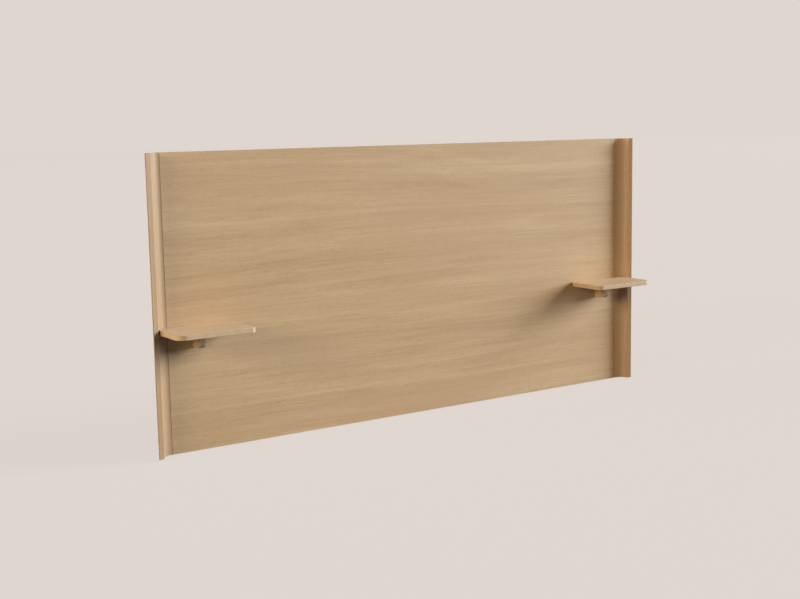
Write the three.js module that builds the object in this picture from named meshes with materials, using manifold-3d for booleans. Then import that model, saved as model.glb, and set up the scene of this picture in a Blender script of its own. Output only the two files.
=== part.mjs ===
// Wall-hung oak headboard with two bedside shelves.
//
// A veneered board is framed left and right by solid oak stiles that curl forward in a cove.
// Each shelf is let into the cove at its outer end and stands on a small oak bracket.
// The headboard hooks over a bevelled rail that is screwed to the wall.
//
// Millimetres, +Z up, -Y towards the bed. The origin is the middle of the wall rail's back face,
// on the wall. Inside the headboard group x = 0 is the middle, y = 0 the board's front face
// and z = 0 its lower edge.

import * as THREE from "three";
import * as BufferGeometryUtils from "three/addons/utils/BufferGeometryUtils.js";
import Module from "manifold-3d";

const wasm = await Module();
wasm.setup();

// Fits
const fitGap = 0.3; // between two pieces that touch
const drillBreakout = 2; // how far a drill runs past the face it enters
const roundSteps = 12; // facets round a dowel, bolt or hole

// Board
const headboardWidth = 2292;
const headboardHeight = 1080;
const boardThickness = 22;
const veneerThickness = 0.6;
const lippingHeight = 12;
const shadowGap = 1.2; // dark line between board and stile

// Stiles
const stileWidth = 68;
const stileReach = 46; // how far the nose stands in front of the board
const coveRadius = 48;
const coveSteps = 20;
const noseRadius = 7.5; // rounded front edge
const noseSteps = 12;
const undercutAngle = THREE.MathUtils.degToRad(25); // how far the outer side leans in behind the nose
const stileBackLand = 7; // flat strip at the back, beside the joint

// Loose tongues between board and stiles
const tongueThickness = 6;
const tongueWidth = 24;
const tongueStop = 25; // how far it stops short of the headboard's top and lower edges

// Shelves
const shelfWidth = 300;
const shelfDepth = 190;
const shelfThickness = 18;
const shelfHeight = 443; // underside, above the board's lower edge
const shelfOverStile = 39.5; // how far the shelf's outer end reaches into the cove, past the seam
const shelfOuterRadius = 36;
const shelfInnerRadius = 20;
const shelfBackRadius = 24;
const shelfArris = 1.6;

// Brackets under the shelves
const bracketWidth = 24;
const bracketDepth = 64;
const bracketHeight = 59;
const bracketSetIn = 3; // from the middle of the shelf towards the stile
const bracketFootRadius = 22;
const bracketArris = 2;

// Dowels between bracket and shelf
const dowelRadius = 4;
const dowelInShelf = 12;
const dowelInBracket = 18;
const dowelChamfer = 1;
const dowelSpacing = 26;
const dowelSetBack = 24; // first dowel, from the bracket's back

// Bolts through the board, with washers and threaded inserts
const boltRadius = 3;
const boltHeadRadius = 5.5;
const boltHeadRim = 1; // upright part of the head, below its dome
const boltHeadHeight = 3.3;
const boltHeadShoulder = [4.7, 2.3]; // radius and height at which the dome turns over
const boltHeadFlat = 3.3; // radius of the flat round the recess
const boltHexRadius = 2.3;
const boltHexDepth = 2;
const boltReach = 13; // how far the shank enters the oak
const boltChamfer = 1;
const washerRadius = 9;
const washerThickness = 1.6;
const insertRadius = 5;
const insertLength = 15;
const shelfBoltMargin = 60; // from each end of the shelf to its bolt
const bracketBoltSpacing = 24;

// Bevelled rails
const railThickness = 18;
const railHeight = 80;
const railInset = 196; // from the headboard's outer edge to the hanging rail's end
const railDrop = 120; // from the headboard's top edge to the hanging rail's
const wallRailPlay = 20; // how much shorter the wall rail is at each end

// Lower batten and its felt pads
const battenThickness = 15;
const battenHeight = 60;
const battenFoot = 90; // lower edge of the batten, above the board's lower edge
const padLength = 100;
const padHeight = 40;
const padCount = 3;
const padEndMargin = 40;

// Countersunk wood screws in the hanging rail and the batten
const screwRadius = 2.25;
const screwHeadRadius = 4.5;
const screwBite = 14; // how far a screw enters the board
const screwPoint = 4;
const railScrewCount = 6;
const railScrewEndMargin = 90;
const battenScrewCount = 4;
const battenScrewEndMargin = 220;

// Countersunk holes for the wall fixings
const wallHoleRadius = 3.2;
const wallHeadRadius = 6.5;
const wallHoleCount = 6;
const wallHoleEndMargin = 130;

// Worked out from the sizes above
const halfWidth = headboardWidth / 2;
const boardHalfWidth = halfWidth - stileWidth - shadowGap;
const tongueMiddle = boardThickness / 2;
const hangingRailLength = headboardWidth - 2 * railInset;
const wallRailLength = hangingRailLength - 2 * wallRailPlay;
const battenLength = hangingRailLength;
const railTop = headboardHeight - railDrop;
const shelfInset = stileWidth - shelfOverStile;
const shelfMiddle = halfWidth - shelfInset - shelfWidth / 2;
const bracketMiddle = shelfMiddle + bracketSetIn;
const bracketTop = shelfHeight - fitGap;
const bracketFoot = bracketTop - bracketHeight;
const standOff = railThickness + 2 * fitGap;
const wallPlane = boardThickness + standOff;
const railBackFace = boardThickness + fitGap + railThickness;
const battenBackFace = boardThickness + fitGap + battenThickness;
const hookGap = fitGap * Math.SQRT2; // fitGap across a 45 degree face, measured upright
const hangingRailFoot = railTop - railHeight;
const wallRailTop = hangingRailFoot + railThickness - fitGap - hookGap;
const railMiddle = wallRailTop - railHeight / 2;
const boltHeadSeat = boardThickness + washerThickness + 2 * fitGap;

// Finishes
const panelOak = new THREE.MeshStandardMaterial({ color: 0xb99a76, roughness: 0.55, metalness: 0 });
const stileOak = new THREE.MeshStandardMaterial({ color: 0xc0a27c, roughness: 0.55, metalness: 0 });
const shelfOak = new THREE.MeshStandardMaterial({ color: 0xc4a67f, roughness: 0.5, metalness: 0 });
const boardCore = new THREE.MeshStandardMaterial({ color: 0xa98a63, roughness: 0.85, metalness: 0 });
const beech = new THREE.MeshStandardMaterial({ color: 0xcfae84, roughness: 0.7, metalness: 0 });
const zincSteel = new THREE.MeshStandardMaterial({ color: 0xb9bcc0, roughness: 0.35, metalness: 1 });
const brass = new THREE.MeshStandardMaterial({ color: 0xb08d45, roughness: 0.35, metalness: 1 });
const felt = new THREE.MeshStandardMaterial({ color: 0x6d6a66, roughness: 0.95, metalness: 0 });

// Geometry with one shared vertex at each place, ready for a boolean
function welded(geometry) {
  const copy = geometry.index ? geometry.toNonIndexed() : geometry.clone();
  copy.deleteAttribute("normal");
  copy.deleteAttribute("uv");
  return BufferGeometryUtils.mergeVertices(copy, 1e-4);
}

function toSolid(geometry) {
  const closed = welded(geometry);
  return new wasm.Manifold(new wasm.Mesh({
    numProp: 3,
    vertProperties: new Float32Array(closed.attributes.position.array),
    triVerts: new Uint32Array(closed.index.array),
  }));
}

function toGeometry(solid) {
  const mesh = solid.getMesh();
  const geometry = new THREE.BufferGeometry();
  geometry.setAttribute("position", new THREE.BufferAttribute(new Float32Array(mesh.vertProperties), 3));
  geometry.setIndex(new THREE.BufferAttribute(new Uint32Array(mesh.triVerts), 1));
  return geometry;
}

// Cuts every tool out of a blank
function cut(blank, tools) {
  let solid = toSolid(blank);
  for (const tool of tools) {
    solid = solid.subtract(toSolid(tool));
  }
  return toGeometry(solid);
}

function piece(name, geometry, material) {
  const mesh = new THREE.Mesh(welded(geometry), material);
  mesh.geometry.computeVertexNormals();
  mesh.name = name;
  return mesh;
}

// Like pieces, numbered from the left
function pieces(name, geometries, material) {
  return geometries.map((geometry, i) => piece(`${name}_${i + 1}`, geometry, material));
}

// A box from its lowest to its highest corner
function block([x0, y0, z0], [x1, y1, z1]) {
  const geometry = new THREE.BoxGeometry(x1 - x0, y1 - y0, z1 - z0);
  return geometry.translate((x0 + x1) / 2, (y0 + y1) / 2, (z0 + z1) / 2);
}

// A plan outline raised straight up from z0 to z1
function raise(outline, z0, z1) {
  return new THREE.ExtrudeGeometry(outline, { depth: z1 - z0, bevelEnabled: false }).translate(0, 0, z0);
}

// An outline drawn in y and z, run along x and centred on the middle
function runAlongX(outline, length, bevel = 0) {
  const geometry = new THREE.ExtrudeGeometry(outline, {
    depth: length - 2 * bevel,
    bevelEnabled: bevel > 0,
    bevelThickness: bevel,
    bevelSize: bevel,
    bevelOffset: -bevel,
    bevelSegments: 4,
    curveSegments: 12,
  });
  const drawnInYZ = new THREE.Matrix4().makeBasis(
    new THREE.Vector3(0, 1, 0), new THREE.Vector3(0, 0, 1), new THREE.Vector3(1, 0, 0));
  return geometry.applyMatrix4(drawnInYZ).translate(bevel - length / 2, 0, 0);
}

// A turned piece whose axis runs along y; profile points are [radius, distance along the axis]
function turned(profile, steps = roundSteps) {
  return new THREE.LatheGeometry(profile.map(([radius, along]) => new THREE.Vector2(radius, along)), steps);
}

function rod(radius, from, to) {
  return turned([[0, from], [radius, from], [radius, to], [0, to]]);
}

function tube(innerRadius, outerRadius, from, to) {
  return turned([[innerRadius, from], [outerRadius, from], [outerRadius, to], [innerRadius, to], [innerRadius, from]]);
}

// Evenly spread places along x
function spread(length, endMargin, count) {
  const run = length - 2 * endMargin;
  return Array.from({ length: count }, (_, i) => -run / 2 + (run * i) / (count - 1));
}

// Both sides of the headboard: -1 is the left as seen from the bed, +1 the right
const sides = [["left", -1], ["right", 1]];

// x of a place that lies a distance in from the outer edge of a side
const fromEdge = (side, distance) => side * (halfWidth - distance);

// Loose tongues

// A strip across the seam, stopped short of both ends; with play it is the groove for the tongue
function tongueStrip(side, play = 0) {
  const middle = fromEdge(side, stileWidth);
  const halfSpan = tongueWidth / 2 + play;
  const halfThickness = tongueThickness / 2 + play;
  const foot = tongueStop - play;
  return block(
    [middle - halfSpan, tongueMiddle - halfThickness, foot],
    [middle + halfSpan, tongueMiddle + halfThickness, headboardHeight - foot]);
}

function tongue(name, side) {
  return piece(name, tongueStrip(side), beech);
}

// Board

// Part of the board between its veneers
function betweenVeneers(z0, z1) {
  return block([-boardHalfWidth, veneerThickness, z0], [boardHalfWidth, boardThickness - veneerThickness, z1]);
}

const railScrewPlaces = spread(hangingRailLength, railScrewEndMargin, railScrewCount)
  .map((x) => [x, railTop - railHeight / 2]);
const battenScrewPlaces = spread(battenLength, battenScrewEndMargin, battenScrewCount)
  .map((x) => [x, battenFoot + battenHeight / 2]);

function shelfBoltPlaces(side) {
  const z = shelfHeight + shelfThickness / 2;
  const halfSpan = shelfWidth / 2 - shelfBoltMargin;
  return [-1, 1].map((end) => [side * shelfMiddle + end * halfSpan, z]);
}

function bracketBoltPlaces(side) {
  const middle = bracketFoot + bracketHeight / 2;
  return [-1, 1].map((end) => [side * bracketMiddle, middle + (end * bracketBoltSpacing) / 2]);
}

const boltPlaces = sides.flatMap(([, side]) => [...shelfBoltPlaces(side), ...bracketBoltPlaces(side)]);

// Holes that cross the board from behind
function boltHoles() {
  return boltPlaces.map(([x, z]) =>
    rod(boltRadius + fitGap, -drillBreakout, boardThickness + drillBreakout).translate(x, 0, z));
}

function screwHoles() {
  const floor = boardThickness - screwBite - fitGap;
  return [...railScrewPlaces, ...battenScrewPlaces].map(([x, z]) =>
    rod(screwRadius + fitGap, floor, boardThickness + drillBreakout).translate(x, 0, z));
}

function panelCore() {
  const blank = betweenVeneers(lippingHeight, headboardHeight - lippingHeight);
  const grooves = sides.map(([, side]) => tongueStrip(side, fitGap));
  return piece("panel_core", cut(blank, [...grooves, ...boltHoles(), ...screwHoles()]), boardCore);
}

function lipping(name, z0) {
  return piece(name, betweenVeneers(z0, z0 + lippingHeight - fitGap / 2), panelOak);
}

function veneer(name, y0, holes) {
  const sheet = block(
    [-boardHalfWidth, y0, 0],
    [boardHalfWidth, y0 + veneerThickness - fitGap / 2, headboardHeight]);
  return piece(name, cut(sheet, holes), panelOak);
}

// Stiles

// Section of a stile, drawn from the seam round the cove, the nose and the undercut back.
// u runs in from the outer edge and v runs back from the board's front face.
function stileSection(side) {
  const cove = new THREE.Vector2(stileWidth, -coveRadius);
  const nose = new THREE.Vector2(noseRadius, noseRadius - stileReach);

  // One straight line touches both rounds, at opposite angles
  const apart = nose.clone().sub(cove);
  const turnOver = apart.angle() - Math.acos((coveRadius + noseRadius) / apart.length());

  const points = [];
  const arc = (u, v, radius, from, to, steps) => {
    for (let i = 0; i <= steps; i += 1) {
      const angle = from + ((to - from) * i) / steps;
      points.push(new THREE.Vector2(u + radius * Math.cos(angle), v + radius * Math.sin(angle)));
    }
  };
  arc(cove.x, cove.y, coveRadius, Math.PI / 2, turnOver, coveSteps);
  arc(nose.x, nose.y, noseRadius, turnOver - Math.PI, -Math.PI - undercutAngle, noseSteps);

  // The undercut side leaves the nose at its angle and swells back to the land beside the joint
  const start = points[points.length - 1].clone();
  const heading = new THREE.Vector2(Math.sin(undercutAngle), Math.cos(undercutAngle));
  const inward = new THREE.Vector2(heading.y, -heading.x);
  const end = new THREE.Vector2(stileWidth - stileBackLand, boardThickness);
  const chord = end.clone().sub(start);
  const sideRadius = chord.lengthSq() / (2 * chord.dot(inward));
  const centre = start.clone().addScaledVector(inward, sideRadius);
  const first = Math.atan2(start.y - centre.y, start.x - centre.x);
  const last = Math.atan2(end.y - centre.y, end.x - centre.x);
  const turn = THREE.MathUtils.euclideanModulo(first - last, 2 * Math.PI);
  arc(centre.x, centre.y, sideRadius, first, first - turn, 12);

  // The joint side stands square to the board
  points.push(new THREE.Vector2(stileWidth, boardThickness));
  return new THREE.Shape(points.map(({ x: u, y: v }) => new THREE.Vector2(fromEdge(side, u), v)));
}

function stile(name, side) {
  const blank = raise(stileSection(side), 0, headboardHeight);
  return piece(name, cut(blank, [tongueStrip(side, fitGap)]), stileOak);
}

// Shelves

// Plan of a shelf: its outer back corner follows the cove, and its other corners are rounded
function shelfPlan(side) {
  const back = -fitGap;
  const front = -shelfDepth;
  const innerEnd = shelfInset + shelfWidth;
  const scribeRadius = coveRadius - fitGap;
  const scribeEnd = Math.PI - Math.acos((stileWidth - shelfInset) / scribeRadius);
  const plan = new THREE.Path();
  plan.moveTo(innerEnd - shelfBackRadius, back);
  plan.lineTo(stileWidth, back);
  plan.absarc(stileWidth, -coveRadius, scribeRadius, Math.PI / 2, scribeEnd, false);
  plan.lineTo(shelfInset, front + shelfOuterRadius);
  plan.absarc(
    shelfInset + shelfOuterRadius, front + shelfOuterRadius, shelfOuterRadius, Math.PI, 1.5 * Math.PI, false);
  plan.lineTo(innerEnd - shelfInnerRadius, front);
  plan.absarc(
    innerEnd - shelfInnerRadius, front + shelfInnerRadius, shelfInnerRadius, 1.5 * Math.PI, 2 * Math.PI, false);
  plan.lineTo(innerEnd, back - shelfBackRadius);
  plan.absarc(innerEnd - shelfBackRadius, back - shelfBackRadius, shelfBackRadius, 0, Math.PI / 2, false);
  const points = plan.getPoints(8);
  points.pop();
  return new THREE.Shape(points.map(({ x: u, y: v }) => new THREE.Vector2(fromEdge(side, u), v)));
}

// Blind holes in oak for the inserts that take the bolts
function insertHoles(places) {
  return places.map(([x, z]) =>
    rod(insertRadius + fitGap, -insertLength - 2 * fitGap, drillBreakout).translate(x, 0, z));
}

function dowelPlaces(side) {
  return [0, 1].map((i) => [side * bracketMiddle, -dowelSetBack - i * dowelSpacing]);
}

// A rod that stands on the vertical line through a place in plan
function upright(radius, [x, y], z0, z1) {
  return rod(radius, z0, z1).rotateX(Math.PI / 2).translate(x, y, 0);
}

function shelf(name, side) {
  const blank = new THREE.ExtrudeGeometry(shelfPlan(side), {
    depth: shelfThickness - 2 * shelfArris,
    bevelThickness: shelfArris,
    bevelSize: shelfArris,
    bevelOffset: -shelfArris,
    bevelSegments: 3,
  }).translate(0, 0, shelfHeight + shelfArris);
  const dowelHoles = dowelPlaces(side).map((place) =>
    upright(dowelRadius + fitGap, place, shelfHeight - drillBreakout, shelfHeight + dowelInShelf + fitGap));
  return piece(name, cut(blank, [...insertHoles(shelfBoltPlaces(side)), ...dowelHoles]), shelfOak);
}

// Brackets

// Side view of a bracket: a slim block whose lower front corner is well rounded
function bracketSide() {
  const back = -fitGap;
  const front = back - bracketDepth;
  const outline = new THREE.Shape();
  outline.moveTo(back, bracketTop);
  outline.lineTo(front, bracketTop);
  outline.lineTo(front, bracketFoot + bracketFootRadius);
  outline.absarc(
    front + bracketFootRadius, bracketFoot + bracketFootRadius, bracketFootRadius, Math.PI, 1.5 * Math.PI, false);
  outline.lineTo(back, bracketFoot);
  return outline;
}

function bracket(name, side) {
  const blank = runAlongX(bracketSide(), bracketWidth, bracketArris).translate(side * bracketMiddle, 0, 0);
  const dowelHoles = dowelPlaces(side).map((place) =>
    upright(dowelRadius + fitGap, place, bracketTop - dowelInBracket - fitGap, bracketTop + drillBreakout));
  return piece(name, cut(blank, [...insertHoles(bracketBoltPlaces(side)), ...dowelHoles]), shelfOak);
}

// Dowels, bolts, washers and inserts

function dowels() {
  const z0 = bracketTop - dowelInBracket;
  const z1 = shelfHeight + dowelInShelf;
  const solids = sides.flatMap(([, side]) => dowelPlaces(side)).map(([x, y]) =>
    turned([
      [0, z0],
      [dowelRadius - dowelChamfer, z0],
      [dowelRadius, z0 + dowelChamfer],
      [dowelRadius, z1 - dowelChamfer],
      [dowelRadius - dowelChamfer, z1],
      [0, z1],
    ]).rotateX(Math.PI / 2).translate(x, y, 0));
  return pieces("bracket_dowel", solids, beech);
}

// Domed head with a hexagon recess, head to the wall
function boltBlank() {
  const top = boltHeadSeat + boltHeadHeight;
  const blank = turned([
    [0, -boltReach],
    [boltRadius - boltChamfer, -boltReach],
    [boltRadius, boltChamfer - boltReach],
    [boltRadius, boltHeadSeat],
    [boltHeadRadius, boltHeadSeat],
    [boltHeadRadius, boltHeadSeat + boltHeadRim],
    [boltHeadShoulder[0], boltHeadSeat + boltHeadShoulder[1]],
    [boltHeadFlat, top],
    [0, top],
  ]);
  const recess = new THREE.CylinderGeometry(boltHexRadius, boltHexRadius, boltHexDepth + drillBreakout, 6)
    .translate(0, top + (drillBreakout - boltHexDepth) / 2, 0);
  return cut(blank, [recess]);
}

function bolts() {
  const blank = boltBlank();
  return pieces("shelf_bolt", boltPlaces.map(([x, z]) => blank.clone().translate(x, 0, z)), zincSteel);
}

function washers() {
  const y0 = boardThickness + fitGap;
  const rings = boltPlaces.map(([x, z]) =>
    tube(boltRadius + fitGap, washerRadius, y0, y0 + washerThickness).translate(x, 0, z));
  return pieces("bolt_washer", rings, zincSteel);
}

function inserts() {
  const mouth = -2 * fitGap;
  const sleeves = boltPlaces.map(([x, z]) =>
    tube(boltRadius + fitGap, insertRadius, mouth - insertLength + fitGap, mouth).translate(x, 0, z));
  return pieces("threaded_insert", sleeves, brass);
}

// Rails, batten and pads

// Through holes with a countersink at the face y = 0
function countersunkHole(radius, headRadius, depth) {
  return turned([
    [0, -depth - drillBreakout],
    [radius, -depth - drillBreakout],
    [radius, radius - headRadius],
    [headRadius, 0],
    [headRadius, drillBreakout],
    [0, drillBreakout],
  ]);
}

const screwHoleRadius = screwRadius + fitGap;
const screwHoleHead = screwHeadRadius + fitGap;

// The hanging rail hooks behind the wall rail: both are bevelled at 45 degrees
function hangingRailSection() {
  const front = railBackFace - railThickness;
  const outline = new THREE.Shape();
  outline.moveTo(front, railTop);
  outline.lineTo(front, hangingRailFoot + railThickness);
  outline.lineTo(railBackFace, hangingRailFoot);
  outline.lineTo(railBackFace, railTop);
  return outline;
}

function wallRailSection() {
  const front = wallPlane - railThickness;
  const foot = wallRailTop - railHeight;
  const outline = new THREE.Shape();
  outline.moveTo(front, wallRailTop);
  outline.lineTo(front, foot);
  outline.lineTo(wallPlane, foot);
  outline.lineTo(wallPlane, wallRailTop - railThickness);
  return outline;
}

function hangingRail() {
  const holes = railScrewPlaces.map(([x, z]) =>
    countersunkHole(screwHoleRadius, screwHoleHead, railThickness).translate(x, railBackFace, z));
  return piece("hanging_rail", cut(runAlongX(hangingRailSection(), hangingRailLength), holes), beech);
}

function wallRail() {
  const front = wallPlane - railThickness;
  const holes = spread(wallRailLength, wallHoleEndMargin, wallHoleCount).map((x) =>
    countersunkHole(wallHoleRadius, wallHeadRadius, railThickness).rotateX(Math.PI).translate(x, front, railMiddle));
  return piece("wall_rail", cut(runAlongX(wallRailSection(), wallRailLength), holes), beech);
}

function batten() {
  const blank = block(
    [-battenLength / 2, boardThickness + fitGap, battenFoot],
    [battenLength / 2, battenBackFace, battenFoot + battenHeight]);
  const holes = battenScrewPlaces.map(([x, z]) =>
    countersunkHole(screwHoleRadius, screwHoleHead, battenThickness).translate(x, battenBackFace, z));
  return piece("spacer_batten", cut(blank, holes), beech);
}

function feltPads() {
  const middle = battenFoot + battenHeight / 2;
  const pads = spread(battenLength, padEndMargin + padLength / 2, padCount).map((x) => block(
    [x - padLength / 2, battenBackFace, middle - padHeight / 2],
    [x + padLength / 2, wallPlane - fitGap, middle + padHeight / 2]));
  return pieces("felt_pad", pads, felt);
}

function woodScrew(thickness) {
  const length = thickness + fitGap + screwBite;
  return turned([
    [0, -length],
    [screwRadius, screwPoint - length],
    [screwRadius, screwRadius - screwHeadRadius],
    [screwHeadRadius, 0],
    [0, 0],
  ]);
}

function railScrews() {
  const blank = woodScrew(railThickness);
  return pieces("rail_screw",
    railScrewPlaces.map(([x, z]) => blank.clone().translate(x, railBackFace, z)), zincSteel);
}

function battenScrews() {
  const blank = woodScrew(battenThickness);
  return pieces("batten_screw",
    battenScrewPlaces.map(([x, z]) => blank.clone().translate(x, battenBackFace, z)), zincSteel);
}

// Assembly

const board = new THREE.Group();
board.add(
  panelCore(),
  veneer("front_veneer", 0, boltHoles()),
  veneer("back_veneer", boardThickness - veneerThickness + fitGap / 2, [...boltHoles(), ...screwHoles()]),
  lipping("bottom_lipping", 0),
  lipping("top_lipping", headboardHeight - lippingHeight + fitGap / 2));

const frame = new THREE.Group();
const shelves = new THREE.Group();
for (const [word, side] of sides) {
  frame.add(stile(`${word}_stile`, side), tongue(`${word}_tongue`, side));
  shelves.add(shelf(`${word}_shelf`, side), bracket(`${word}_bracket`, side));
}
shelves.add(...dowels(), ...bolts(), ...washers(), ...inserts());

const back = new THREE.Group();
back.add(hangingRail(), ...railScrews(), batten(), ...battenScrews(), ...feltPads());

const headboard = new THREE.Group();
headboard.add(board, frame, shelves, back, wallRail());

// The wall plane and the middle of the wall rail become the origin
headboard.position.set(0, -wallPlane, -railMiddle);

const assembly = new THREE.Group();
assembly.add(headboard);

export default assembly;
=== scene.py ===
# Oak headboard with two bedside shelves, hung on a bevelled wall rail.
# Metres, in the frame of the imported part: +X to the right as seen from the bed, -Y towards the bed,
# +Z up, and the origin on the wall, at the middle of the wall rail.

import math

import bpy
from mathutils import Matrix, Vector


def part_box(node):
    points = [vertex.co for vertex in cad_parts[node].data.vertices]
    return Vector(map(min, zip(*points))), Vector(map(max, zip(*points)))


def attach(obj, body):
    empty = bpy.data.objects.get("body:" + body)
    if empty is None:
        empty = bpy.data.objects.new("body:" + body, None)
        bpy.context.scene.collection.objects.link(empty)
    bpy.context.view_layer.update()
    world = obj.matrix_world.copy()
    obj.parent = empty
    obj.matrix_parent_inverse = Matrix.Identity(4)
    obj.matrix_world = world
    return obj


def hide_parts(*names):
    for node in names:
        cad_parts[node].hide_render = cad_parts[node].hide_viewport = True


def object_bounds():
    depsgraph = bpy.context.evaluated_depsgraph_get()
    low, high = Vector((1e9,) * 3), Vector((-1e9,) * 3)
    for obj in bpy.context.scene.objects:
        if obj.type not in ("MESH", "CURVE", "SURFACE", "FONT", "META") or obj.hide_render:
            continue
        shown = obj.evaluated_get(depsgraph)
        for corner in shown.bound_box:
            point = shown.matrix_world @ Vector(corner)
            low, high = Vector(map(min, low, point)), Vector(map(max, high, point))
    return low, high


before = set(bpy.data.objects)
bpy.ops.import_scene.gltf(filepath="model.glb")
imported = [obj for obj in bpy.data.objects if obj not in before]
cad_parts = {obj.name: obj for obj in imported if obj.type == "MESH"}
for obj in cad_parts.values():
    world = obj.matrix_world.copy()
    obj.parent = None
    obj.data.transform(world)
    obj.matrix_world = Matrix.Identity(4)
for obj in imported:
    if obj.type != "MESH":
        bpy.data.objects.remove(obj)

cad_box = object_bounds()

# Camera
# A 55.5 mm lens on a 36 mm frame, stood to the left of the bed a little above the shelves and
# turned down by eight degrees, as the photograph was taken.
CAMERA_PLACE = Vector((-2.78106, -4.09125, 0.30631))
CAMERA_RIGHT = Vector((0.83062569, -0.55650974, -0.0189176))
CAMERA_UP = Vector((0.09414432, 0.10686954, 0.98980591))
CAMERA_BACK = Vector((-0.54881491, -0.8239392, 0.14116082))
LENS_LENGTH = 55.517
FRAME_WIDTH = 36

camera_data = bpy.data.cameras.new("camera")
camera_data.lens = LENS_LENGTH
camera_data.sensor_width = FRAME_WIDTH
camera_data.sensor_fit = "HORIZONTAL"
camera_data.clip_start = 0.05
camera_data.clip_end = 200
camera = bpy.data.objects.new("camera", camera_data)
camera.matrix_world = Matrix((
    (CAMERA_RIGHT.x, CAMERA_UP.x, CAMERA_BACK.x, CAMERA_PLACE.x),
    (CAMERA_RIGHT.y, CAMERA_UP.y, CAMERA_BACK.y, CAMERA_PLACE.y),
    (CAMERA_RIGHT.z, CAMERA_UP.z, CAMERA_BACK.z, CAMERA_PLACE.z),
    (0, 0, 0, 1)))
bpy.context.scene.collection.objects.link(camera)
bpy.context.scene.camera = camera
bpy.context.scene.view_settings.view_transform = "Standard"

# Lamps and room light
# A tall softbox far to the right grazes the board, a smaller and warmer lamp deepens the shadows of
# the shelves, and warm lamps fill from the left. The room is nearly dark, so those shadows stay deep.
SOFTBOX_TURN = 69
SOFTBOX_HEIGHT = 17
SOFTBOX_DISTANCE = 120
SOFTBOX_SIZE = (46.7, 58)
SOFTBOX_POWER = 270000
SOFTBOX_COLOUR = (0.892, 0.980, 1.0)
KEY_TURN = 41
KEY_HEIGHT = 25
KEY_STRENGTH = 0.65
KEY_ANGLE = math.radians(9)
KEY_COLOUR = (1.0, 0.80, 0.55)
FILL_TURN = -75
FILL_HEIGHT = 17
FILL_STRENGTH = 2.2
FILL_ANGLE = math.radians(22)
FILL_COLOUR = (1.0, 0.79, 0.51)
RIM_TURN = -110
RIM_HEIGHT = 8
RIM_STRENGTH = 2.0
RIM_ANGLE = math.radians(30)
ROOM_COLOUR = (0.02, 0.017, 0.013, 1)
BACKDROP_COLOUR = (0.7305, 0.6724, 0.6240, 1)


def towards(turn, height):
    """Direction to a lamp: degrees to the right of straight in front of the board, and above level."""
    turn, height = math.radians(turn), math.radians(height)
    return Vector((math.cos(height) * math.sin(turn), -math.cos(height) * math.cos(turn), math.sin(height)))


def lamp(name, kind, direction, strength, colour, distance=4, **settings):
    """A lamp that stands in the given direction and shines at the middle of the wall rail."""
    data = bpy.data.lights.new(name, kind)
    data.energy = strength
    data.color = colour
    for title, value in settings.items():
        setattr(data, title, value)
    made = bpy.data.objects.new(name, data)
    made.location = direction * distance
    made.rotation_mode = "QUATERNION"
    made.rotation_quaternion = direction.to_track_quat("Z", "Y")
    bpy.context.scene.collection.objects.link(made)


lamp("softbox", "AREA", towards(SOFTBOX_TURN, SOFTBOX_HEIGHT), SOFTBOX_POWER, SOFTBOX_COLOUR,
     SOFTBOX_DISTANCE, shape="RECTANGLE", size=SOFTBOX_SIZE[0], size_y=SOFTBOX_SIZE[1])
lamp("key_lamp", "SUN", towards(KEY_TURN, KEY_HEIGHT), KEY_STRENGTH, KEY_COLOUR, angle=KEY_ANGLE)
lamp("fill_lamp", "SUN", towards(FILL_TURN, FILL_HEIGHT), FILL_STRENGTH, FILL_COLOUR, angle=FILL_ANGLE)
lamp("rim_lamp", "SUN", towards(RIM_TURN, RIM_HEIGHT), RIM_STRENGTH, FILL_COLOUR, angle=RIM_ANGLE)


def node(tree, kind, inputs=None, **settings):
    """A shader node with its settings, whose inputs are values or other nodes' sockets."""
    made = tree.nodes.new(kind)
    for name, value in settings.items():
        setattr(made, name, value)
    for socket, value in (inputs or {}).items():
        if isinstance(value, bpy.types.NodeSocket):
            tree.links.new(value, made.inputs[socket])
        else:
            made.inputs[socket].default_value = value
    return made


def calc(tree, operation, a, b=0.0, clamp=False):
    """The result of one sum on two numbers or sockets."""
    return node(tree, "ShaderNodeMath", {0: a, 1: b}, operation=operation, use_clamp=clamp).outputs[0]


def seen_as_backdrop(tree):
    """1 for rays from the camera and from glossy or clear surfaces, 0 for the light of the room."""
    path = node(tree, "ShaderNodeLightPath")
    seen = calc(tree, "MAXIMUM", path.outputs["Is Camera Ray"], path.outputs["Is Glossy Ray"])
    return calc(tree, "MAXIMUM", seen, path.outputs["Is Transmission Ray"])


world = bpy.data.worlds.new("room")
world.use_nodes = True
bpy.context.scene.world = world
room = world.node_tree
room.nodes.clear()
room_light = node(room, "ShaderNodeBackground", {"Color": ROOM_COLOUR, "Strength": 1.0})
room_backdrop = node(room, "ShaderNodeBackground", {"Color": BACKDROP_COLOUR, "Strength": 1.0})
room_mix = node(room, "ShaderNodeMixShader",
                {0: seen_as_backdrop(room), 1: room_light.outputs[0], 2: room_backdrop.outputs[0]})
node(room, "ShaderNodeOutputWorld", {"Surface": room_mix.outputs[0]})

# Floor
# A plain pale floor a few millimetres under the headboard. To the camera it has the colour of the
# backdrop and keeps a faint shadow; the light of the room it throws back like pale paint.
FLOOR_HALF = 60
FLOOR_DROP = 0.004
FLOOR_PAINT = (0.10, 0.095, 0.09, 1)
FLOOR_SHADE = (0.055, 0.052, 0.050, 1)
FLOOR_GLOW = (0.6865, 0.6315, 0.5887, 1)


def new_material(name):
    """An empty material and its tree."""
    material = bpy.data.materials.new(name)
    material.use_nodes = True
    material.node_tree.nodes.clear()
    return material, material.node_tree


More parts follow.
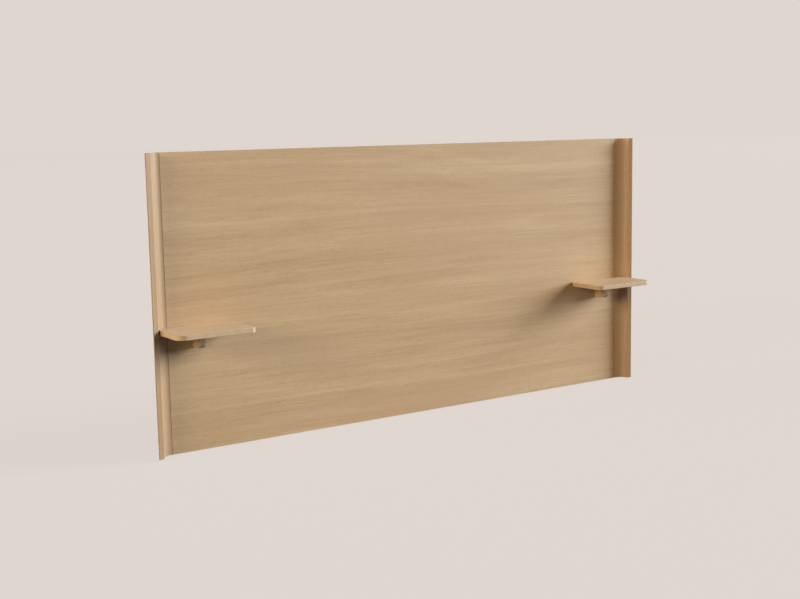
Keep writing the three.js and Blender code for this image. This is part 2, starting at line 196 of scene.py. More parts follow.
floor_z = cad_box[0].z - FLOOR_DROP
floor_mesh = bpy.data.meshes.new("floor")
floor_mesh.from_pydata(
    [(x * FLOOR_HALF, y * FLOOR_HALF, floor_z) for x, y in ((-1, -1), (1, -1), (1, 1), (-1, 1))],
    [], [(0, 1, 2, 3)])
floor = bpy.data.objects.new("floor", floor_mesh)
bpy.context.scene.collection.objects.link(floor)
floor_paint, tree = new_material("pale_floor")
shade = node(tree, "ShaderNodeBsdfDiffuse", {"Color": FLOOR_SHADE})
glow = node(tree, "ShaderNodeEmission", {"Color": FLOOR_GLOW, "Strength": 1.0})
as_seen = node(tree, "ShaderNodeAddShader", {0: shade.outputs[0], 1: glow.outputs[0]})
paint = node(tree, "ShaderNodeBsdfDiffuse", {"Color": FLOOR_PAINT})
both = node(tree, "ShaderNodeMixShader",
            {0: seen_as_backdrop(tree), 1: paint.outputs[0], 2: as_seen.outputs[0]})
node(tree, "ShaderNodeOutputMaterial", {"Surface": both.outputs[0]})
floor_mesh.materials.append(floor_paint)

# Board: veneered core with lippings
# Sliced oak veneer with its grain level, pressed on both faces of a fibreboard core whose top and
# lower edges are lipped in solid oak before the veneer goes on. Finished in a matt oil.
VENEER_PALE = (0.590, 0.420, 0.258, 1)
VENEER_DARK = (0.405, 0.255, 0.142, 1)
VENEER_ROSE = (0.500, 0.318, 0.190, 1)
PORE_SHADE = (0.62, 0.52, 0.42, 1)
FIBREBOARD_DARK = (0.22, 0.13, 0.07, 1)
FIBREBOARD_PALE = (0.52, 0.38, 0.24, 1)
# Each feature of the grain by its count in a metre along and across, then how strongly it shows
WANDER, WANDER_ASIDE = (0.55, 2.0), 0.07
BANDS, BAND_TONE = (0.55, 15.0), 1.1
BAND_EDGES, EDGE_TONE = (0.3, 6.0), 0.22
FIBRES, FIBRE_TONE = (2.4, 150.0), 1.0
DASHES, DASH_TONE = (7.0, 420.0), 0.5
PATCHES, PATCH_SHARE = (1.2, 4.5), 0.6
PORES, PORE_SHARE = (30.0, 1300.0), 0.6


def group_tree(name, inputs, outputs):
    """A node group with its named sockets, and its inner inputs and outputs."""
    tree = bpy.data.node_groups.new(name, "ShaderNodeTree")
    for title, kind, value in inputs:
        socket = tree.interface.new_socket(title, in_out="INPUT", socket_type=kind)
        if value is not None:
            socket.default_value = value
    for title, kind in outputs:
        tree.interface.new_socket(title, in_out="OUTPUT", socket_type=kind)
    return tree, tree.nodes.new("NodeGroupInput").outputs, tree.nodes.new("NodeGroupOutput").inputs


def stretched_noise(tree, place, along, across, detail=2.0, roughness=0.5):
    """Noise drawn out along the first axis; along and across count its features in a metre."""
    scaled = node(tree, "ShaderNodeVectorMath", {0: place, 1: (along, across, across)},
                  operation="MULTIPLY")
    return node(tree, "ShaderNodeTexNoise",
                {"Vector": scaled.outputs[0], "Scale": 1.0, "Detail": detail, "Roughness": roughness},
                ).outputs["Fac"]


def centred(tree, value, gain):
    """Noise about its middle, times a gain."""
    return calc(tree, "MULTIPLY", calc(tree, "SUBTRACT", value, 0.5), gain)


def over(tree, value, level, gain):
    """How far noise rises over a level, times a gain, held between 0 and 1."""
    return calc(tree, "MULTIPLY", calc(tree, "SUBTRACT", value, level), gain, clamp=True)


def mix_colours(tree, share, a, b, blend="MIX"):
    """Colour a with a share of colour b."""
    mixed = node(tree, "ShaderNodeMix", {0: share, 6: a, 7: b}, data_type="RGBA", blend_type=blend)
    return mixed.outputs[2]


def oak_group():
    """Oak grain along the first axis of its place: bands, fibres, rose patches and open pores."""
    tree, given, out = group_tree(
        "oak_grain",
        [("Place", "NodeSocketVector", None),
         ("Pale", "NodeSocketColor", VENEER_PALE),
         ("Dark", "NodeSocketColor", VENEER_DARK),
         ("Rose", "NodeSocketColor", VENEER_ROSE),
         ("Figure", "NodeSocketFloat", 1.0),
         ("Pores", "NodeSocketFloat", 1.0)],
        [("Color", "NodeSocketColor"), ("Roughness", "NodeSocketFloat"), ("Height", "NodeSocketFloat")])
    # The grain wanders slowly to both sides of its line
    wander = centred(tree, stretched_noise(tree, given["Place"], *WANDER, 1.0), WANDER_ASIDE)
    aside = node(tree, "ShaderNodeCombineXYZ", {"Y": wander, "Z": wander})
    place = node(tree, "ShaderNodeVectorMath", {0: given["Place"], 1: aside.outputs[0]},
                 operation="ADD").outputs[0]
    # Growth bands, their thin pale edges, and the fibres
    bands = stretched_noise(tree, place, *BANDS, 3.0, 0.6)
    edge = calc(tree, "ABSOLUTE", centred(tree, stretched_noise(tree, place, *BAND_EDGES, 1.0), 30.0))
    edge = calc(tree, "SUBTRACT", 1.0, edge, clamp=True)
    fibres = stretched_noise(tree, place, *FIBRES, 4.0, 0.62)
    dashes = stretched_noise(tree, place, *DASHES, 2.0, 0.6)
    tone = calc(tree, "ADD", centred(tree, bands, BAND_TONE), calc(tree, "MULTIPLY", edge, EDGE_TONE))
    tone = calc(tree, "MULTIPLY", tone, given["Figure"])
    tone = calc(tree, "ADD", tone, centred(tree, fibres, FIBRE_TONE))
    tone = calc(tree, "ADD", tone, centred(tree, dashes, DASH_TONE))
    tone = calc(tree, "ADD", tone, 0.5, clamp=True)
    colour = mix_colours(tree, tone, given["Dark"], given["Pale"])
    patches = over(tree, stretched_noise(tree, place, *PATCHES, 2.0), 0.45, 3.0)
    patches = calc(tree, "MULTIPLY", patches, PATCH_SHARE)
    colour = mix_colours(tree, patches, colour, given["Rose"])
    # Open pores are short dark furrows along the fibres
    pores = over(tree, stretched_noise(tree, place, *PORES, 1.0), 0.60, 9.0)
    pores = calc(tree, "MULTIPLY", pores, given["Pores"])
    furrow = mix_colours(tree, 1.0, colour, PORE_SHADE, "MULTIPLY")
    colour = mix_colours(tree, calc(tree, "MULTIPLY", pores, PORE_SHARE), colour, furrow)
    tree.links.new(colour, out["Color"])
    rough = calc(tree, "ADD", 0.47, calc(tree, "MULTIPLY", pores, 0.16))
    tree.links.new(calc(tree, "ADD", rough, centred(tree, fibres, 0.12)), out["Roughness"])
    raised = calc(tree, "SUBTRACT", calc(tree, "MULTIPLY", fibres, 0.4), pores)
    tree.links.new(raised, out["Height"])
    return tree


def edge_wear_and_highlight_group():
    """Paler, duller arrises: partly oil rubbed thinner by hands, partly painted highlight where the rounds
    catch the light.
    """
    tree, given, out = group_tree(
        "edge_wear_and_highlight",
        [("Color", "NodeSocketColor", (1, 1, 1, 1)),
         ("Roughness", "NodeSocketFloat", 0.5),
         ("Pale_edge_colour", "NodeSocketColor", (1, 1, 1, 1)),
         ("Amount", "NodeSocketFloat", 0.5)],
        [("Color", "NodeSocketColor"), ("Roughness", "NodeSocketFloat")])
    marked = node(tree, "ShaderNodeAttribute", attribute_name="arris").outputs["Fac"]
    place = node(tree, "ShaderNodeTexCoord").outputs["Object"]
    uneven = node(tree, "ShaderNodeTexNoise", {"Vector": place, "Scale": 38.0, "Detail": 3.0})
    share = calc(tree, "ADD", centred(tree, uneven.outputs["Fac"], 1.6), 0.75, clamp=True)
    share = calc(tree, "MULTIPLY", calc(tree, "MULTIPLY", share, marked), given["Amount"])
    tree.links.new(mix_colours(tree, share, given["Color"], given["Pale_edge_colour"]), out["Color"])
    duller = calc(tree, "ADD", given["Roughness"], calc(tree, "MULTIPLY", share, 0.15))
    tree.links.new(duller, out["Roughness"])
    return tree


OAK_GRAIN = oak_group()
EDGE_WEAR_AND_HIGHLIGHT = edge_wear_and_highlight_group()

# Which way the grain runs, as the order in which x, y and z are taken
ALONG_X = ("X", "Y", "Z")
ALONG_Z = ("Z", "X", "Y")


def grain_place(tree, order, shift):
    """The place on the piece with its first axis along the grain; shift moves to other timber."""
    place = node(tree, "ShaderNodeTexCoord").outputs["Object"]
    parts = node(tree, "ShaderNodeSeparateXYZ", {0: place}).outputs
    turned_place = node(tree, "ShaderNodeCombineXYZ", {i: parts[axis] for i, axis in enumerate(order)})
    return node(tree, "ShaderNodeVectorMath", {0: turned_place.outputs[0], 1: shift},
                operation="ADD").outputs[0]


def oiled_oak(name, pale, dark, rose, order, shift, figure=1.0):
    """Oak in matt oil: grain, open pores, and arrises a little paler, partly as wear and partly as painted
    highlight.
    """
    material, tree = new_material(name)
    oak = node(tree, "ShaderNodeGroup", node_tree=OAK_GRAIN)
    tree.links.new(grain_place(tree, order, shift), oak.inputs["Place"])
    for title, value in (("Pale", pale), ("Dark", dark), ("Rose", rose), ("Figure", figure)):
        oak.inputs[title].default_value = value
    pale_edges = node(tree, "ShaderNodeGroup", node_tree=EDGE_WEAR_AND_HIGHLIGHT)
    tree.links.new(oak.outputs["Color"], pale_edges.inputs["Color"])
    tree.links.new(oak.outputs["Roughness"], pale_edges.inputs["Roughness"])
    # Arrises 12 % paler than the pale of the grain: hand wear and painted highlight together
    pale_edges.inputs["Pale_edge_colour"].default_value = [min(1.0, 1.12 * c) for c in pale[:3]] + [1]
    pale_edges.inputs["Amount"].default_value = 0.6
    bump = node(tree, "ShaderNodeBump",
                {"Strength": 0.35, "Distance": 0.0003, "Height": oak.outputs["Height"]})
    surface = node(tree, "ShaderNodeBsdfPrincipled", {
        "Base Color": pale_edges.outputs["Color"], "Roughness": pale_edges.outputs["Roughness"],
        "Specular IOR Level": 0.35, "Coat Weight": 0.06, "Coat Roughness": 0.4,
        "Normal": bump.outputs[0]})
    node(tree, "ShaderNodeOutputMaterial", {"Surface": surface.outputs[0]})
    return material


def finish_nodes(material, slot, *names):
    """Gives CAD nodes their real finish."""
    for name in names:
        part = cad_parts[name]
        part.data.materials.clear()
        part.data.materials.append(material)


veneer_oak = oiled_oak("oak_veneer", VENEER_PALE, VENEER_DARK, VENEER_ROSE, ALONG_X, (3.1, 0.4, 1.7))
lipping_oak = oiled_oak("oak_lipping", VENEER_PALE, VENEER_DARK, VENEER_ROSE, ALONG_X, (7.7, 2.0, 5.3))
finish_nodes(veneer_oak, "panel_oak", "front_veneer", "back_veneer")
finish_nodes(lipping_oak, "panel_oak", "top_lipping", "bottom_lipping")

fibreboard, tree = new_material("fibreboard")
place = node(tree, "ShaderNodeTexCoord").outputs["Object"]
fluff = node(tree, "ShaderNodeTexNoise", {"Vector": place, "Scale": 900.0, "Detail": 4.0, "Roughness": 0.7})
layers = node(tree, "ShaderNodeTexNoise", {"Vector": place, "Scale": 60.0, "Detail": 3.0})
tone = calc(tree, "ADD", calc(tree, "MULTIPLY", fluff.outputs["Fac"], 0.7),
            calc(tree, "MULTIPLY", layers.outputs["Fac"], 0.3))
colour = mix_colours(tree, tone, FIBREBOARD_DARK, FIBREBOARD_PALE)
bump = node(tree, "ShaderNodeBump", {"Strength": 0.5, "Distance": 0.0003, "Height": fluff.outputs["Fac"]})
surface = node(tree, "ShaderNodeBsdfPrincipled", {
    "Base Color": colour, "Roughness": calc(tree, "ADD", 0.7, calc(tree, "MULTIPLY", tone, 0.2)),
    "Specular IOR Level": 0.2, "Normal": bump.outputs[0]})
node(tree, "ShaderNodeOutputMaterial", {"Surface": surface.outputs[0]})
finish_nodes(fibreboard, "board_core", "panel_core")

# Stiles
# Solid oak uprights left and right of the board, grain upright. Each is run through the moulder to
# a cove that rises to a crest with a narrow lip outside it, and undercut behind to look slim.
STILE_WIDTH = 0.068
LIP_WIDTH = 0.021
CREST_REACH = 0.037
TIP_REACH = 0.042
TIP_ROUND = 0.0025
COVE_SWEEP = 2 * math.atan(CREST_REACH / (STILE_WIDTH - LIP_WIDTH))
COVE_RADIUS = (STILE_WIDTH - LIP_WIDTH) / math.sin(COVE_SWEEP)
UNDERCUT = math.radians(25)
BACK_LAND = 0.007
BOARD_THICKNESS = 0.022
STILE_END_ARRIS = 0.0008
STILE_PALE = (0.452, 0.318, 0.202, 1)
STILE_DARK = (0.310, 0.197, 0.114, 1)
STILE_ROSE = (0.390, 0.250, 0.154, 1)
# Painted light: each stile's tint offsets how light falls on it, the left one against cool light, the right
# one against shade
LEFT_STILE_LIGHT_TINT = (0.97, 0.92, 0.84)
RIGHT_STILE_LIGHT_TINT = (1.06, 1.05, 1.05)

BOARD_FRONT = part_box("front_veneer")[0].y
HEADBOARD_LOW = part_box("left_stile")[0].z
HEADBOARD_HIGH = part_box("left_stile")[1].z
HALF_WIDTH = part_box("right_stile")[1].x


def arc(centre, radius, start, end, steps):
    """Points on an arc, both ends among them."""
    return [(centre[0] + radius * math.cos(start + (end - start) * i / steps),
             centre[1] + radius * math.sin(start + (end - start) * i / steps)) for i in range(steps + 1)]


def stile_section():
    """Outline of the stile seen from above, and which of its corners make the tip, painted paler as wear and
    as painted highlight.

    u runs from the outer edge inwards, v from the board's front face back to the wall."""
    # The lip runs straight from the crest and meets the round of the tip without a step
    crest, tip = Vector((LIP_WIDTH, -CREST_REACH)), Vector((TIP_ROUND, TIP_ROUND - TIP_REACH))
    across = tip - crest
    lip_heading = math.atan2(across.y, across.x) % (2 * math.pi) + math.asin(TIP_ROUND / across.length)
    points = arc((STILE_WIDTH, -COVE_RADIUS), COVE_RADIUS, math.pi / 2, math.pi / 2 + COVE_SWEEP, 40)
    lip_end = len(points)
    points += arc(tip, TIP_ROUND, lip_heading - 1.5 * math.pi, -math.pi - UNDERCUT, 12)
    tip_corners = range(lip_end + 1, len(points))
    # The undercut is one arc that leaves the tip at its angle and ends at the land of the back
    start = Vector(points[-1])
    inward = Vector((math.cos(UNDERCUT), -math.sin(UNDERCUT)))
    end = Vector((STILE_WIDTH - BACK_LAND, BOARD_THICKNESS))
    chord = end - start
    radius = chord.length_squared / (2 * chord.dot(inward))
    centre = start + inward * radius
    first = math.atan2(start.y - centre.y, start.x - centre.x)
    last = math.atan2(end.y - centre.y, end.x - centre.x)
    points += arc(centre, radius, first, first - (first - last) % (2 * math.pi), 24)[1:]
    points.append((STILE_WIDTH, BOARD_THICKNESS))
    return points, tip_corners


def inset(outline, distance):
    """The outline moved inwards, corner by corner."""
    count = len(outline)
    area = sum(outline[i - 1][0] * outline[i][1] - outline[i][0] * outline[i - 1][1] for i in range(count))
    turn = 1 if area > 0 else -1
    moved = []
    for i in range(count):
        before = (Vector(outline[i]) - Vector(outline[i - 1])).normalized()
        after = (Vector(outline[(i + 1) % count]) - Vector(outline[i])).normalized()
        inner = [Vector((-d.y, d.x)) * turn for d in (before, after)]
        middle = (inner[0] + inner[1]).normalized()
        moved.append(Vector(outline[i]) + middle * distance / max(0.3, middle.dot(inner[0])))
    return [tuple(p) for p in moved]


def mesh_volume(mesh):
    """Volume inside a closed mesh, below zero when its faces look inwards."""
    total = 0.0
    for face in mesh.polygons:
        corners = [mesh.vertices[i].co for i in face.vertices]
        for i in range(1, len(corners) - 1):
            total += corners[0].dot(corners[i].cross(corners[i + 1]))
    return total / 6


def dressed(name, mesh, material, body, stands_for, marks=None, crisp=math.radians(35)):
    if marks:
        arris_marks = mesh.attributes.new("arris", "FLOAT", "POINT")
        arris_marks.data.foreach_set("value", marks)
    mesh.materials.append(material)
    made = bpy.data.objects.new(name, mesh)
    bpy.context.scene.collection.objects.link(made)
    for face in mesh.polygons:
        face.use_smooth = True
    mesh.set_sharp_from_angle(angle=crisp)
    weighted = made.modifiers.new("flat faces stay flat", "WEIGHTED_NORMAL")
    weighted.keep_sharp = True
    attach(made, body)
    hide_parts(*stands_for)


def planed(name, outline, low, high, arris, place, material, body, stands_for,
           arris_steps=4, pale_edges=(), rings=1):
    """A piece of one outline from low to high, with eased arrises at both ends.

    place turns (a, b, height) into a point; pale_edges lists the corners of the outline painted paler, like
    the eased arrises, as wear and as painted highlight."""
    loops = []
    for i in range(arris_steps + 1):
        angle = math.pi / 2 * i / arris_steps
        loops.append((arris * (1 - math.sin(angle)), low + arris * (1 - math.cos(angle)), i < arris_steps))
    for i in range(1, rings):
        loops.append((0, low + arris + (high - low - 2 * arris) * i / rings, False))
    lower = loops[:arris_steps + 1]
    loops += [(depth, low + high - height, eased) for depth, height, eased in reversed(lower)]
    points, marks = [], []
    for depth, height, eased in loops:
        ring = inset(outline, depth) if depth else outline
        points += [place(a, b, height) for a, b in ring]
        marks += [1.0 if eased or j in pale_edges else 0.0 for j in range(len(ring))]
    count = len(outline)
    faces = [tuple(range(count))[::-1], tuple(range(len(points) - count, len(points)))]
    for k in range(len(loops) - 1):
        for j in range(count):
            a, b = k * count + j, k * count + (j + 1) % count
            faces.append((a, b, b + count, a + count))
    mesh = bpy.data.meshes.new(name)
    mesh.from_pydata(points, [], faces)
    mesh.update()
    if mesh_volume(mesh) < 0:
        mesh.flip_normals()
    dressed(name, mesh, material, body, stands_for, marks)


section, tip_corners = stile_section()
# Painted light: the left stile's colour is tinted less blue against the cool light on it, the right one's
# paler against the shade on it
for word, side, light_tint in (("left", -1, LEFT_STILE_LIGHT_TINT), ("right", 1, RIGHT_STILE_LIGHT_TINT)):
    pale, dark, rose = ([a * b for a, b in zip(colour, light_tint)] + [1]
                        for colour in (STILE_PALE, STILE_DARK, STILE_ROSE))
    oak = oiled_oak(f"{word}_stile_oak", pale, dark, rose, ALONG_Z, (side * 2.3, side * 1.1, 0.6))
    planed(f"{word}_coved_stile", section, HEADBOARD_LOW, HEADBOARD_HIGH, STILE_END_ARRIS,
           lambda u, v, z, side=side: (side * (HALF_WIDTH - u), BOARD_FRONT + v, z),
           oak, "headboard", [f"{word}_stile"], pale_edges=tip_corners, rings=12)

# Shelves
# A small solid oak shelf beside each stile, grain across the bed. Its outer end is scribed to the
# cove, its other corners are rounded, and its arrises are eased. The front edge is painted paler,
# partly as hand wear and partly as painted highlight where it catches the light.
SHELF_INSET = 0.0285
SHELF_WIDTH = 0.300
SHELF_DEPTH = 0.190
SHELF_OUTER_RADIUS = 0.036
SHELF_INNER_RADIUS = 0.020
SHELF_BACK_RADIUS = 0.024
SHELF_ARRIS = 0.0016
FIT_GAP = 0.0003
SHELF_PALE = (0.530, 0.400, 0.268, 1)
SHELF_DARK = (0.366, 0.248, 0.153, 1)
SHELF_ROSE = (0.452, 0.310, 0.200, 1)


def shelf_plan():
    """Outline of the shelf from above in the stile's u and v, and which corners make its front edge."""
    scribe = COVE_RADIUS - FIT_GAP
    scribe_end = math.pi - math.acos((STILE_WIDTH - SHELF_INSET) / scribe)
    inner_end = SHELF_INSET + SHELF_WIDTH
    front, back = -SHELF_DEPTH, -FIT_GAP
    points = arc((STILE_WIDTH, -COVE_RADIUS), scribe, math.pi / 2, scribe_end, 24)
    scribed = len(points)
    points += arc((SHELF_INSET + SHELF_OUTER_RADIUS, front + SHELF_OUTER_RADIUS), SHELF_OUTER_RADIUS,
                  math.pi, 1.5 * math.pi, 20)
    points += arc((inner_end - SHELF_INNER_RADIUS, front + SHELF_INNER_RADIUS), SHELF_INNER_RADIUS,
                  1.5 * math.pi, 2 * math.pi, 16)
    front_corners = range(scribed, len(points))
    points += arc((inner_end - SHELF_BACK_RADIUS, back - SHELF_BACK_RADIUS), SHELF_BACK_RADIUS,
                  0, math.pi / 2, 16)
    return points, front_corners


plan, front_corners = shelf_plan()
for word, side in (("left", -1), ("right", 1)):
    low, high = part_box(f"{word}_shelf")
    oak = oiled_oak(f"{word}_shelf_oak", SHELF_PALE, SHELF_DARK, SHELF_ROSE, ALONG_X,
                    (side * 4.1, 0.9, side * 2.7), figure=0.8)
    planed(f"{word}_bedside_shelf", plan, low.z, high.z, SHELF_ARRIS,
           lambda u, v, z, side=side: (side * (HALF_WIDTH - u), BOARD_FRONT + v, z),
           oak, "headboard", [f"{word}_shelf"], pale_edges=front_corners)

# Brackets
# A slim oak block, grain upright, dowelled and glued under each shelf and bolted from behind.
# The corner under its front end is well rounded.
BRACKET_FOOT_RADIUS = 0.022
BRACKET_ARRIS = 0.002

for word, side in (("left", -1), ("right", 1)):
    low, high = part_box(f"{word}_bracket")
    block_side = [(high.y, high.z), (low.y, high.z)]
    block_side += arc((low.y + BRACKET_FOOT_RADIUS, low.z + BRACKET_FOOT_RADIUS), BRACKET_FOOT_RADIUS,
                      math.pi, 1.5 * math.pi, 20)
    block_side.append((high.y, low.z))
    oak = oiled_oak(f"{word}_bracket_oak", SHELF_PALE, SHELF_DARK, SHELF_ROSE, ALONG_Z,
                    (side * 6.1, side * 3.3, 1.2), figure=0.8)
    planed(f"{word}_bracket_block", block_side, low.x, high.x, BRACKET_ARRIS,
           lambda y, z, x: (x, y, z), oak, "headboard", [f"{word}_bracket"])

# Beech: tongues, dowels, rails and batten
# Plain steamed beech, planed and left without oil: loose tongues in the joints, dowels, the
# bevelled hanging and wall rails, and the spacer batten.
BEECH_PALE = (0.640, 0.445, 0.262, 1)
BEECH_DARK = (0.500, 0.318, 0.172, 1)
BEECH_RAY = (0.36, 0.20, 0.10, 1)
BEECH_GRAIN = (1.2, 60.0)
BEECH_RAYS = (160.0, 900.0)


def planed_beech(name, order):
    """Close pinkish grain with the short dark rays that mark beech."""
    material, tree = new_material(name)
    place = grain_place(tree, order, (0.4, 1.9, 2.6))
    grain = stretched_noise(tree, place, *BEECH_GRAIN, 4.0, 0.6)
    rays = over(tree, stretched_noise(tree, place, *BEECH_RAYS, 1.0), 0.60, 8.0)
    colour = mix_colours(tree, calc(tree, "ADD", centred(tree, grain, 1.8), 0.5, clamp=True),
                         BEECH_DARK, BEECH_PALE)
    colour = mix_colours(tree, calc(tree, "MULTIPLY", rays, 0.35), colour, BEECH_RAY)
    bump = node(tree, "ShaderNodeBump", {"Strength": 0.3, "Distance": 0.0002, "Height": grain})
    surface = node(tree, "ShaderNodeBsdfPrincipled", {
        "Base Color": colour, "Roughness": calc(tree, "ADD", 0.6, centred(tree, grain, 0.2)),
        "Specular IOR Level": 0.3, "Normal": bump.outputs[0]})
    node(tree, "ShaderNodeOutputMaterial", {"Surface": surface.outputs[0]})
    return material


finish_nodes(planed_beech("beech_level", ALONG_X), "beech", "hanging_rail", "wall_rail", "spacer_batten")
finish_nodes(planed_beech("beech_upright", ALONG_Z), "beech", "left_tongue", "right_tongue",
             *(f"bracket_dowel_{i}" for i in range(1, 5)))

# Zinc-plated bolts, washers and screws
# Domed socket bolts M6 come through the board from behind with wide washers; countersunk screws
# hold the hanging rail and the batten. All are turned steel, bright zinc plated.
ZINC = (0.560, 0.575, 0.590, 1)
ZINC_DULL = (0.380, 0.395, 0.410, 1)
BOLT_RADIUS = 0.003
BOLT_POINT = 0.001
# The head of the bolt: radius, and height above its seat
BOLT_HEAD = ((0.0055, 0), (0.0055, 0.001), (0.0047, 0.0023), (0.0033, 0.0033))
SOCKET_RADIUS = 0.002
SOCKET_DEPTH = 0.002
WASHER_RADIUS = 0.009
WASHER_HOLE_RADIUS = 0.0033
WASHER_EASE = 0.0002
SCREW_RADIUS = 0.00225
SCREW_TIP_RADIUS = 0.0002
SCREW_POINT = 0.004
SCREW_HEAD_RADIUS = 0.0044
SCREW_HEAD_EASE = 0.0001
CROSS_REACH = 0.0026
CROSS_HALF_WIDTH = 0.0006
CROSS_DEPTH = 0.0018

zinc, tree = new_material("zinc_plate")
place = node(tree, "ShaderNodeTexCoord").outputs["Object"]
bloom = node(tree, "ShaderNodeTexNoise", {"Vector": place, "Scale": 260.0, "Detail": 5.0, "Roughness": 0.65})
rings = node(tree, "ShaderNodeTexNoise", {"Vector": place, "Scale": 1500.0, "Detail": 2.0})
surface = node(tree, "ShaderNodeBsdfPrincipled", {
    "Base Color": mix_colours(tree, bloom.outputs["Fac"], ZINC_DULL, ZINC),
    "Metallic": 1.0,
    "Roughness": calc(tree, "ADD", 0.24, calc(tree, "MULTIPLY", bloom.outputs["Fac"], 0.22)),
    "Normal": node(tree, "ShaderNodeBump",
                   {"Strength": 0.2, "Distance": 0.0001, "Height": rings.outputs["Fac"]}).outputs[0]})
node(tree, "ShaderNodeOutputMaterial", {"Surface": surface.outputs[0]})


def turned(name, profile, recess, depth, stands_for, sides=48):
    """A turned piece whose head looks to the wall: profile lists radius and y from the tip to the head.

    recess gives the radius of the drive at an angle, cut to the given depth in the head."""
    low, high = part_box(stands_for)
    x, z = (low.x + high.x) / 2, (low.z + high.z) / 2
    angles = [2 * math.pi * i / sides for i in range(sides)]
    rings = [[(r, y)] * sides for r, y in profile]
    if recess:
        top = profile[-1][1]
        rings += [[(recess(a), y) for a in angles] for y in (top, top - depth)]
    points = [(x + r * math.cos(a), y, z + r * math.sin(a))
              for ring in rings for a, (r, y) in zip(angles, ring)]
    faces = []
    for k in range(len(rings) - 1 if recess else len(rings)):
        nearer, further = k * sides, (k + 1) % len(rings) * sides
        for j in range(sides):
            i = (j + 1) % sides
            faces.append((nearer + j, nearer + i, further + i, further + j))
    if recess:
        faces += [tuple(range(sides)), tuple(range(len(points) - sides, len(points)))[::-1]]
    mesh = bpy.data.meshes.new(name)
    mesh.from_pydata(points, [], faces)
    mesh.update()
    if mesh_volume(mesh) < 0:
        mesh.flip_normals()
    dressed(name, mesh, zinc, "headboard", [stands_for])


def hexagon(angle):
    """Radius of the six-sided socket at an angle."""
    return SOCKET_RADIUS / math.cos(angle % (math.pi / 3) - math.pi / 6)


def cross(angle):
    """Radius of the cross recess at an angle."""
    aside = abs((angle + math.pi / 4) % (math.pi / 2) - math.pi / 4)
    return min(CROSS_REACH, CROSS_HALF_WIDTH / max(1e-6, math.sin(aside)))


for i in range(1, 9):
    low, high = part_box(f"shelf_bolt_{i}")
    seat = high.y - BOLT_HEAD[-1][1]
    bolt = [(BOLT_RADIUS - BOLT_POINT, low.y), (BOLT_RADIUS, low.y + BOLT_POINT), (BOLT_RADIUS, seat)]
    bolt += [(radius, seat + height) for radius, height in BOLT_HEAD]
    turned(f"domed_bolt_{i}", bolt, hexagon, SOCKET_DEPTH, f"shelf_bolt_{i}")
    low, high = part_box(f"bolt_washer_{i}")
    washer = [(WASHER_HOLE_RADIUS, low.y), (WASHER_RADIUS - WASHER_EASE, low.y),
              (WASHER_RADIUS, low.y + WASHER_EASE), (WASHER_RADIUS, high.y - WASHER_EASE),
              (WASHER_RADIUS - WASHER_EASE, high.y), (WASHER_HOLE_RADIUS, high.y)]
    turned(f"wide_washer_{i}", washer, None, 0, f"bolt_washer_{i}")
for kind, count in (("rail", 6), ("batten", 4)):
    for i in range(1, count + 1):
        low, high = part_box(f"{kind}_screw_{i}")
        # The head is countersunk at 90 degrees
        rim = high.y - SCREW_HEAD_EASE
        neck = rim - (SCREW_HEAD_RADIUS - SCREW_RADIUS)
        screw = [(SCREW_TIP_RADIUS, low.y), (SCREW_RADIUS, low.y + SCREW_POINT), (SCREW_RADIUS, neck),
                 (SCREW_HEAD_RADIUS, rim), (SCREW_HEAD_RADIUS - SCREW_HEAD_EASE, high.y)]
        turned(f"{kind}_wood_screw_{i}", screw, cross, CROSS_DEPTH, f"{kind}_screw_{i}")

# Threaded inserts
# Turned brass sleeves, screwed into the back edge of each shelf and bracket to take the bolts.
BRASS_DULL = (0.40, 0.26, 0.09, 1)
BRASS = (0.62, 0.44, 0.17, 1)

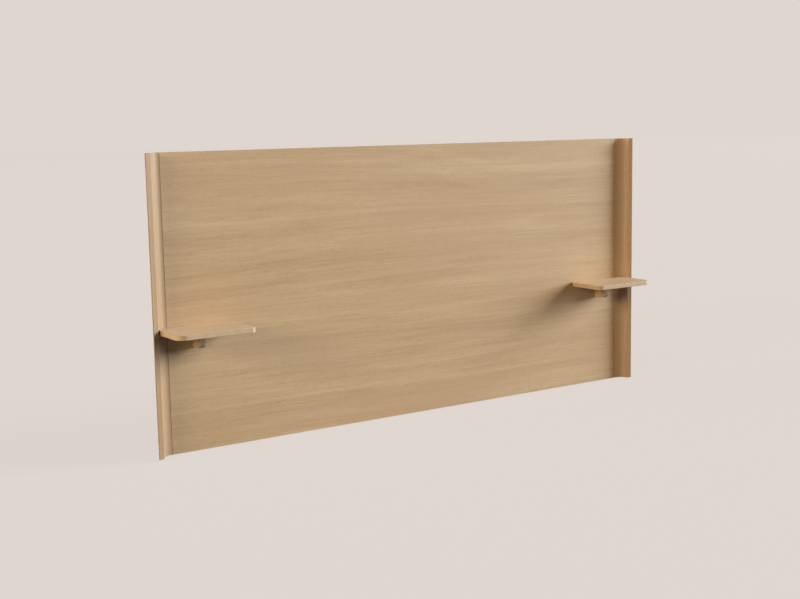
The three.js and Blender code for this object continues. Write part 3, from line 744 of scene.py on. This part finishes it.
brass, tree = new_material("turned_brass")
place = node(tree, "ShaderNodeTexCoord").outputs["Object"]
tarnish = node(tree, "ShaderNodeTexNoise", {"Vector": place, "Scale": 300.0, "Detail": 4.0})
surface = node(tree, "ShaderNodeBsdfPrincipled", {
    "Base Color": mix_colours(tree, tarnish.outputs["Fac"], BRASS_DULL, BRASS),
    "Metallic": 1.0,
    "Roughness": calc(tree, "ADD", 0.25, calc(tree, "MULTIPLY", tarnish.outputs["Fac"], 0.25))})
node(tree, "ShaderNodeOutputMaterial", {"Surface": surface.outputs[0]})
finish_nodes(brass, "brass", *(f"threaded_insert_{i}" for i in range(1, 9)))

# Felt pads
# Three pads of pressed grey wool felt, stuck on the batten so that the headboard stands off the
# wall quietly.
FELT_ARRIS = 0.0010
FELT_CORNER = 0.004
FELT_DARK = (0.085, 0.080, 0.075, 1)
FELT_PALE = (0.26, 0.25, 0.235, 1)

felt, tree = new_material("wool_felt")
place = node(tree, "ShaderNodeTexCoord").outputs["Object"]
hairs = node(tree, "ShaderNodeTexNoise", {"Vector": place, "Scale": 700.0, "Detail": 6.0, "Roughness": 0.75})
tufts = node(tree, "ShaderNodeTexNoise", {"Vector": place, "Scale": 90.0, "Detail": 3.0})
tone = calc(tree, "ADD", calc(tree, "MULTIPLY", hairs.outputs["Fac"], 0.7),
            calc(tree, "MULTIPLY", tufts.outputs["Fac"], 0.3))
surface = node(tree, "ShaderNodeBsdfPrincipled", {
    "Base Color": mix_colours(tree, tone, FELT_DARK, FELT_PALE),
    "Roughness": calc(tree, "ADD", 0.85, calc(tree, "MULTIPLY", tone, 0.12)),
    "Specular IOR Level": 0.1, "Sheen Weight": 0.3, "Sheen Roughness": 0.5,
    "Normal": node(tree, "ShaderNodeBump",
                   {"Strength": 0.8, "Distance": 0.0006, "Height": hairs.outputs["Fac"]}).outputs[0]})
node(tree, "ShaderNodeOutputMaterial", {"Surface": surface.outputs[0]})
for i in range(1, 4):
    low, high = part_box(f"felt_pad_{i}")
    pad_outline = []
    for x, z, start in ((high.x, high.z, 0), (low.x, high.z, 0.5), (low.x, low.z, 1), (high.x, low.z, 1.5)):
        centre = (x - math.copysign(FELT_CORNER, x - (low.x + high.x) / 2),
                  z - math.copysign(FELT_CORNER, z - (low.z + high.z) / 2))
        pad_outline += arc(centre, FELT_CORNER, start * math.pi, (start + 0.5) * math.pi, 5)
    planed(f"wool_pad_{i}", pad_outline, low.y, high.y, FELT_ARRIS,
           lambda x, z, y: (x, y, z), felt, "headboard", [f"felt_pad_{i}"], arris_steps=3)
